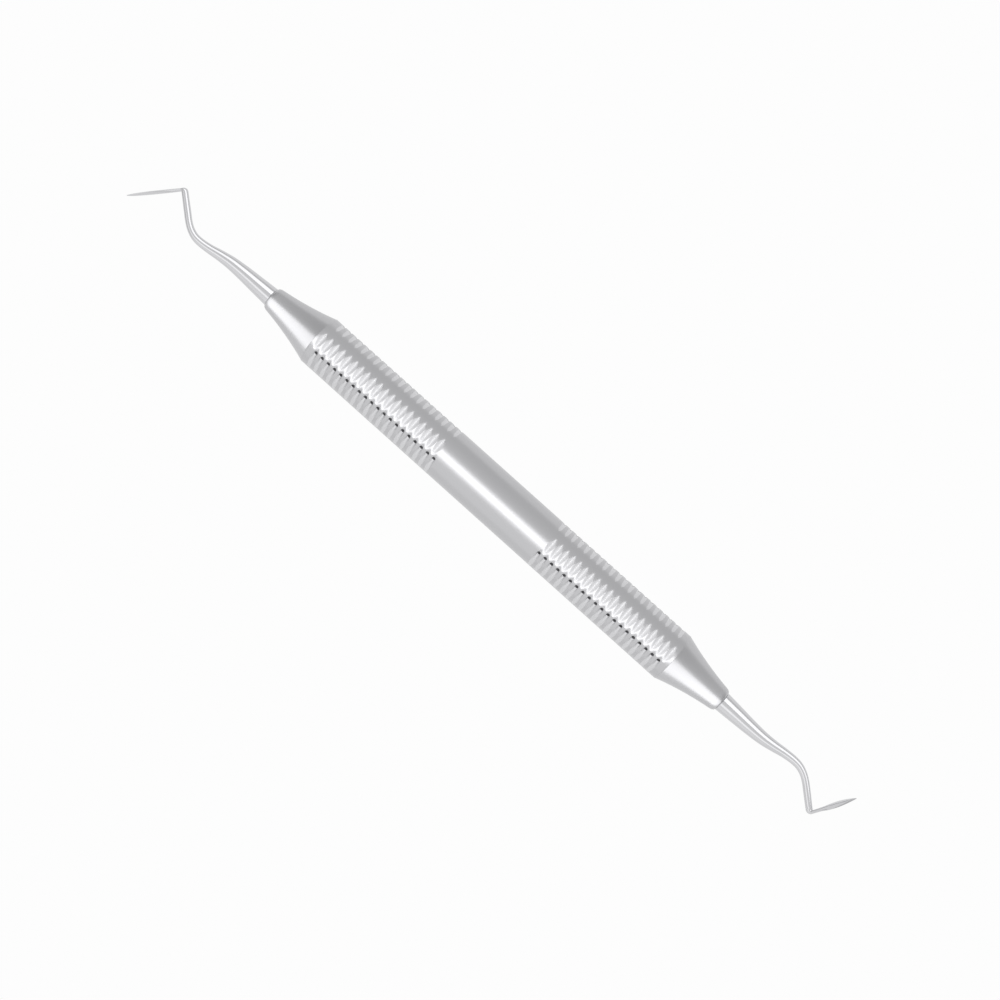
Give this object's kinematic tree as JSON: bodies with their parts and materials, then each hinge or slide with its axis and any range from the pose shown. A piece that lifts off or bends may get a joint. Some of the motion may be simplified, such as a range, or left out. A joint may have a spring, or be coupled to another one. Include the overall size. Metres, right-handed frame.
{
  "type": "hand scaler",
  "caption": "Double-ended steel dental hand scaler with a hollow ribbed round handle, tapered ends and bent shanks carrying slender leaf-shaped blades.",
  "frame": {"origin": "centre of the handle, on its axis", "axes": "+X along the handle towards the right working end, whose blade stands up out of the shank plane; +Y is sideways in the plane of the bent shanks; +Z is the third axis"},
  "size_m": [0.1703, 0.0098, 0.0126],
  "materials": {
    "satin_steel": "fine satin, bead blasted",
    "polished_steel": "polished"
  },
  "bodies": {
    "root": {"handle_tube": "satin_steel", "cone_left": "satin_steel", "cone_right": "satin_steel", "working_end_left": "polished_steel", "working_end_right": "polished_steel"}
  },
  "joints": []
}
